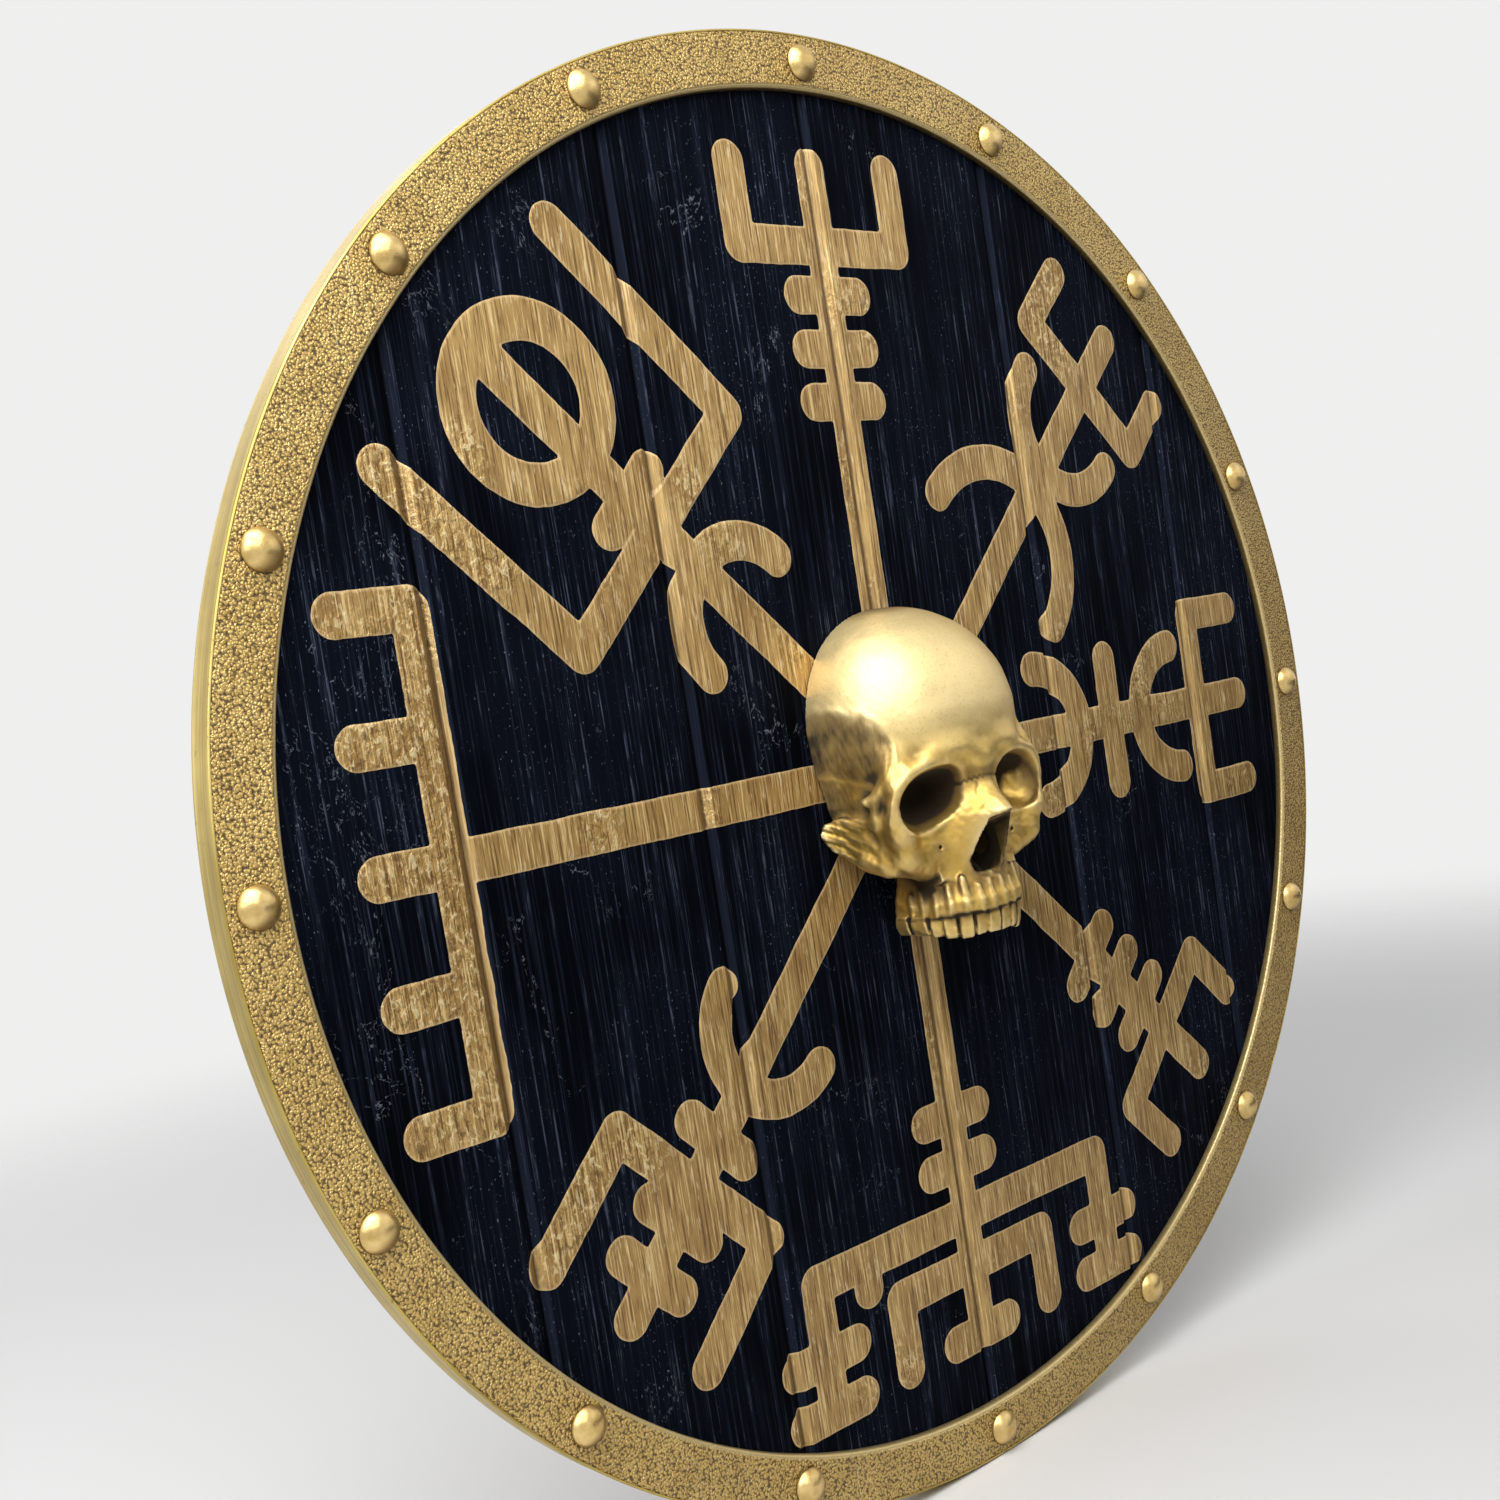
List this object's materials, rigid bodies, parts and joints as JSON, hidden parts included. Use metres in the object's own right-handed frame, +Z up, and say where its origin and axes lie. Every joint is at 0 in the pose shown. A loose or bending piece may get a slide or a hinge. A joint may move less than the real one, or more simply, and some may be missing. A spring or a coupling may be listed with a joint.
{
  "type": "viking shield",
  "caption": "Round boarded shield with a studded gilt rim, a gilt compass-stave figure, a skull boss in relief, battens and a hand grip behind, and a folding hanging ring.",
  "frame": {"origin": "centre of the shield, in the plane of the grip bar's flat back, where a wall is", "axes": "+X to the right of someone who looks at the front, +Z up, the front faces -Y"},
  "size_m": [0.6098, 0.1217, 0.61],
  "materials": {
    "stained_wood": "satin",
    "bare_wood": "matte",
    "gold_rim": "satin",
    "gold_edge": "satin",
    "gold_paint": "satin",
    "gold_cast": "satin",
    "gold_stud": "satin",
    "steel": "satin"
  },
  "bodies": {
    "shield": {"board_1": "stained_wood", "board_2": "stained_wood", "board_3": "stained_wood", "board_4": "stained_wood", "board_5": "stained_wood", "board_6": "stained_wood", "stave_east": "gold_paint", "stave_north_east": "gold_paint", "stave_north": "gold_paint", "stave_north_west": "gold_paint", "stave_west": "gold_paint", "stave_south_west": "gold_paint", "stave_south": "gold_paint", "stave_south_east": "gold_paint", "rim_ring": "gold_rim", "edge_band": "gold_edge", "rim_rivets": "gold_stud", "rivet_roves": "steel", "skull_boss": "gold_cast", "skull_screws": "steel", "skull_washers": "steel", "batten_upper": "bare_wood", "batten_lower": "bare_wood", "batten_screws": "steel", "grip_bar": "bare_wood", "grip_block_left": "bare_wood", "grip_block_right": "bare_wood", "grip_screws": "steel", "hanger_plate": "steel", "hanger_screws": "steel"},
    "hanging_ring": {"hanger_ring": "steel"}
  },
  "joints": [
    {"name": "ring_swing", "type": "hinge", "parent": "shield", "child": "hanging_ring", "pos_m": [0, -0.04815, 0.222], "axis": [1, 0, 0], "range_deg": [0, 180]}
  ]
}
